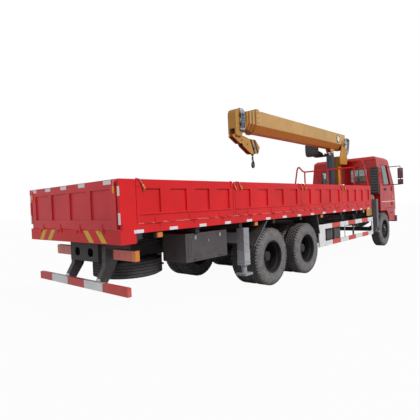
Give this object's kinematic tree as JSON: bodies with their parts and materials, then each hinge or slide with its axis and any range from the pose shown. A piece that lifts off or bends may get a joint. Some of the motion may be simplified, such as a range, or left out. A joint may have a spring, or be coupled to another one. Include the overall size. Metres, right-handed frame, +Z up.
{
  "type": "truck crane",
  "caption": "Three-axle truck with a drop-side load bed, tilting cab, sliding outriggers and a slewing telescopic crane folded back over the bed.",
  "frame": {"origin": "on the ground, below the middle of the length and width", "axes": "+X forward along the truck, +Y to its left, +Z up"},
  "size_m": [11.444, 2.96, 3.642],
  "materials": {
    "black_plastic": "matt black plastic",
    "chassis_black": "black chassis paint",
    "crane_yellow": "worn yellow paint",
    "cylinder_grey": "blue grey paint",
    "grey_plastic": "dark grey plastic",
    "grey_steel": "grey painted steel",
    "guard_white": "white paint with red blocks",
    "lamp_lens": "moulded lens",
    "ram_steel": "polished ram",
    "red_paint": "glossy red paint",
    "tank_grey": "dark grey paint",
    "tyre": "matt black rubber, dusty",
    "wheel_paint": "dull grey painted steel",
    "window_glass": "tinted glass"
  },
  "bodies": {
    "chassis": {"axles_and_springs": "chassis_black", "bed": "red_paint", "chassis_frame": "chassis_black", "crane_base": "crane_yellow", "engine_and_shaft": "chassis_black", "front_bumper": "grey_plastic", "guards": "guard_white", "headboard": "red_paint", "lamps": "lamp_lens", "mud_flaps": "black_plastic", "rear_outrigger_legs": "grey_steel", "spare_carrier": "chassis_black", "spare_tyre": "tyre", "tanks_and_toolbox": "tank_grey"},
    "cab": {"cab_shell": "red_paint", "cab_glass": "window_glass", "cab_interior": "black_plastic", "mirrors": "black_plastic", "air_intake": "black_plastic"},
    "door_left": {"door_left": "red_paint"},
    "door_right": {"door_right": "red_paint"},
    "crane_column": {"crane_column": "crane_yellow", "operator_seat": "black_plastic"},
    "boom_base": {"boom_base": "crane_yellow"},
    "boom_second": {"boom_second": "crane_yellow"},
    "boom_third": {"boom_third": "crane_yellow"},
    "boom_tip": {"boom_tip": "crane_yellow"},
    "hook_block": {"hook_block": "crane_yellow"},
    "lift_barrel": {"lift_barrel": "cylinder_grey"},
    "lift_ram": {"lift_ram": "ram_steel"},
    "tailgate": {"tailgate": "red_paint"},
    "first_wheels_left": {"first_tyres_left": "tyre", "first_rims_left": "wheel_paint"},
    "second_wheels_left": {"second_tyres_left": "tyre", "second_rims_left": "wheel_paint"},
    "knuckle_left": {"knuckle_left": "chassis_black"},
    "front_wheel_left": {"front_tyre_left": "tyre", "front_rim_left": "wheel_paint"},
    "outrigger_left": {"outrigger_left": "crane_yellow"},
    "jack_front_left": {"jack_front_left": "grey_steel"},
    "jack_rear_left": {"jack_rear_left": "grey_steel"},
    "gate_left_1": {"gate_left_1": "red_paint"},
    "gate_left_2": {"gate_left_2": "red_paint"},
    "gate_left_3": {"gate_left_3": "red_paint"},
    "gate_left_4": {"gate_left_4": "red_paint"},
    "first_wheels_right": {"first_tyres_right": "tyre", "first_rims_right": "wheel_paint"},
    "second_wheels_right": {"second_tyres_right": "tyre", "second_rims_right": "wheel_paint"},
    "knuckle_right": {"knuckle_right": "chassis_black"},
    "front_wheel_right": {"front_tyre_right": "tyre", "front_rim_right": "wheel_paint"},
    "outrigger_right": {"outrigger_right": "crane_yellow"},
    "jack_front_right": {"jack_front_right": "grey_steel"},
    "jack_rear_right": {"jack_rear_right": "grey_steel"},
    "gate_right_1": {"gate_right_1": "red_paint"},
    "gate_right_2": {"gate_right_2": "red_paint"},
    "gate_right_3": {"gate_right_3": "red_paint"},
    "gate_right_4": {"gate_right_4": "red_paint"}
  },
  "joints": [
    {"name": "first_wheels_left_spin", "type": "hinge", "parent": "chassis", "child": "first_wheels_left", "pos_m": [-1.05, 0.93, 0.53], "axis": [0, 1, 0], "continuous": true},
    {"name": "second_wheels_left_spin", "type": "hinge", "parent": "chassis", "child": "second_wheels_left", "pos_m": [-2.4, 0.93, 0.53], "axis": [0, 1, 0], "continuous": true},
    {"name": "steer_left", "type": "hinge", "parent": "chassis", "child": "knuckle_left", "pos_m": [4.25, 0.8, 0.53], "axis": [0, 0, 1], "range_deg": [-35, 35]},
    {"name": "front_wheel_left_spin", "type": "hinge", "parent": "knuckle_left", "child": "front_wheel_left", "pos_m": [4.25, 1.06, 0.53], "axis": [0, 1, 0], "continuous": true},
    {"name": "gate_left_1_drop", "type": "hinge", "parent": "chassis", "child": "gate_left_1", "pos_m": [0, 1.262, 1.345], "axis": [-1, 0, 0], "range_deg": [0, 180]},
    {"name": "gate_left_2_drop", "type": "hinge", "parent": "chassis", "child": "gate_left_2", "pos_m": [0, 1.262, 1.345], "axis": [-1, 0, 0], "range_deg": [0, 180]},
    {"name": "gate_left_3_drop", "type": "hinge", "parent": "chassis", "child": "gate_left_3", "pos_m": [0, 1.262, 1.345], "axis": [-1, 0, 0], "range_deg": [0, 180]},
    {"name": "gate_left_4_drop", "type": "hinge", "parent": "chassis", "child": "gate_left_4", "pos_m": [0, 1.262, 1.345], "axis": [-1, 0, 0], "range_deg": [0, 180]},
    {"name": "outrigger_left_slide", "type": "slide", "parent": "chassis", "child": "outrigger_left", "axis": [0, 1, 0], "range_m": [0, 1.6]},
    {"name": "jack_front_left_lower", "type": "slide", "parent": "outrigger_left", "child": "jack_front_left", "axis": [0, 0, -1], "range_m": [0, 0.485]},
    {"name": "jack_rear_left_lower", "type": "slide", "parent": "chassis", "child": "jack_rear_left", "axis": [0, 0, -1], "range_m": [0, 0.315]},
    {"name": "door_left_swing", "type": "hinge", "parent": "cab", "child": "door_left", "pos_m": [5.24, 1.163, 1.6], "axis": [0, 0, -1], "range_deg": [0, 70]},
    {"name": "first_wheels_right_spin", "type": "hinge", "parent": "chassis", "child": "first_wheels_right", "pos_m": [-1.05, -0.93, 0.53], "axis": [0, 1, 0], "continuous": true},
    {"name": "second_wheels_right_spin", "type": "hinge", "parent": "chassis", "child": "second_wheels_right", "pos_m": [-2.4, -0.93, 0.53], "axis": [0, 1, 0], "continuous": true},
    {"name": "steer_right", "type": "hinge", "parent": "chassis", "child": "knuckle_right", "pos_m": [4.25, -0.8, 0.53], "axis": [0, 0, 1], "range_deg": [-35, 35]},
    {"name": "front_wheel_right_spin", "type": "hinge", "parent": "knuckle_right", "child": "front_wheel_right", "pos_m": [4.25, -1.06, 0.53], "axis": [0, 1, 0], "continuous": true},
    {"name": "gate_right_1_drop", "type": "hinge", "parent": "chassis", "child": "gate_right_1", "pos_m": [0, -1.262, 1.345], "axis": [1, 0, 0], "range_deg": [0, 180]},
    {"name": "gate_right_2_drop", "type": "hinge", "parent": "chassis", "child": "gate_right_2", "pos_m": [0, -1.262, 1.345], "axis": [1, 0, 0], "range_deg": [0, 180]},
    {"name": "gate_right_3_drop", "type": "hinge", "parent": "chassis", "child": "gate_right_3", "pos_m": [0, -1.262, 1.345], "axis": [1, 0, 0], "range_deg": [0, 180]},
    {"name": "gate_right_4_drop", "type": "hinge", "parent": "chassis", "child": "gate_right_4", "pos_m": [0, -1.262, 1.345], "axis": [1, 0, 0], "range_deg": [0, 180]},
    {"name": "outrigger_right_slide", "type": "slide", "parent": "chassis", "child": "outrigger_right", "axis": [0, -1, 0], "range_m": [0, 1.6]},
    {"name": "jack_front_right_lower", "type": "slide", "parent": "outrigger_right", "child": "jack_front_right", "axis": [0, 0, -1], "range_m": [0, 0.485]},
    {"name": "jack_rear_right_lower", "type": "slide", "parent": "chassis", "child": "jack_rear_right", "axis": [0, 0, -1], "range_m": [0, 0.315]},
    {"name": "door_right_swing", "type": "hinge", "parent": "cab", "child": "door_right", "pos_m": [5.24, -1.163, 1.6], "axis": [0, 0, 1], "range_deg": [0, 70]},
    {"name": "tailgate_drop", "type": "hinge", "parent": "chassis", "child": "tailgate", "pos_m": [-5.712, 0, 1.275], "axis": [0, -1, 0], "range_deg": [0, 180]},
    {"name": "cab_tilt", "type": "hinge", "parent": "chassis", "child": "cab", "pos_m": [5.5, 0, 1.03], "axis": [0, 1, 0], "range_deg": [0, 50]},
    {"name": "slew", "type": "hinge", "parent": "chassis", "child": "crane_column", "pos_m": [3.43, 0, 1.68], "axis": [0, 0, 1], "continuous": true},
    {"name": "luff", "type": "hinge", "parent": "crane_column", "child": "boom_base", "pos_m": [3.62, 0, 3.3], "axis": [0, 1, 0], "range_deg": [0, 75]},
    {"name": "barrel_lean", "type": "hinge", "parent": "crane_column", "child": "lift_barrel", "pos_m": [3.06, 0, 1.75], "axis": [0, 1, 0], "range_deg": [0, 4.2]},
    {"name": "ram_slide", "type": "slide", "parent": "lift_barrel", "child": "lift_ram", "axis": [-0.0079, 0, 1], "range_m": [0, 0.7703]},
    {"name": "telescope", "type": "slide", "parent": "boom_base", "child": "boom_second", "axis": [-1, 0, 0], "range_m": [0, 4.2]},
    {"name": "third_slide", "type": "slide", "parent": "boom_second", "child": "boom_third", "axis": [-1, 0, 0], "range_m": [0, 4.2]},
    {"name": "tip_slide", "type": "slide", "parent": "boom_third", "child": "boom_tip", "axis": [-1, 0, 0], "range_m": [0, 4.2]},
    {"name": "hook_swing", "type": "hinge", "parent": "boom_tip", "child": "hook_block", "pos_m": [-1.84, 0, 3.03], "axis": [0, 1, 0], "range_deg": [0, 70]}
  ],
  "couplings": [
    {"joint": "steer_right", "follows": "steer_left", "ratio": 1},
    {"joint": "barrel_lean", "follows": "luff", "ratio": 0.055911},
    {"joint": "ram_slide", "follows": "luff", "m_per_rad": 0.58808},
    {"joint": "third_slide", "follows": "telescope", "ratio": 1},
    {"joint": "tip_slide", "follows": "telescope", "ratio": 1}
  ]
}
